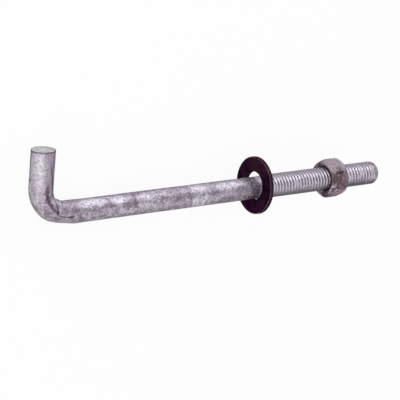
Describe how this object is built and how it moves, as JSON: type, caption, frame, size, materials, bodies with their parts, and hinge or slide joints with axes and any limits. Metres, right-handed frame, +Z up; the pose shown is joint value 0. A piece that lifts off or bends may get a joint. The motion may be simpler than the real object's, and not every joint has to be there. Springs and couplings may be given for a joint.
{
  "type": "j bolt",
  "caption": "Steel hook bolt bent through a right angle at one end and threaded at the other, with a loose flat washer and a hexagon nut.",
  "frame": {"origin": "middle of the bolt's outline on the floor that it lies on", "axes": "+X along the rod from the hook to the threaded end, over the floor; +Y the way the hook's leg points; +Z up from the floor. The rod itself rises about 4 degrees towards the thread, because the washer's rim holds that end up"},
  "size_m": [0.2152, 0.0486, 0.0308],
  "materials": {
    "galvanised_rod": "hot-dip galvanised, mottled grey",
    "black_washer": "near-black oxide, satin",
    "galvanised_nut": "hot-dip galvanised, dull brownish grey"
  },
  "bodies": {
    "rod": {"bent_rod": "galvanised_rod"},
    "washer": {"flat_washer": "black_washer"},
    "nut": {"hex_nut": "galvanised_nut"}
  },
  "joints": [
    {"name": "washer_slide", "type": "slide", "parent": "rod", "child": "washer", "axis": [0.9971, 0, 0.0763], "range_m": [-0.1, 0.00125]},
    {"name": "nut_travel", "type": "slide", "parent": "rod", "child": "nut", "axis": [0.9971, 0, 0.0763], "range_m": [-0.03908, 0.02345]}
  ]
}
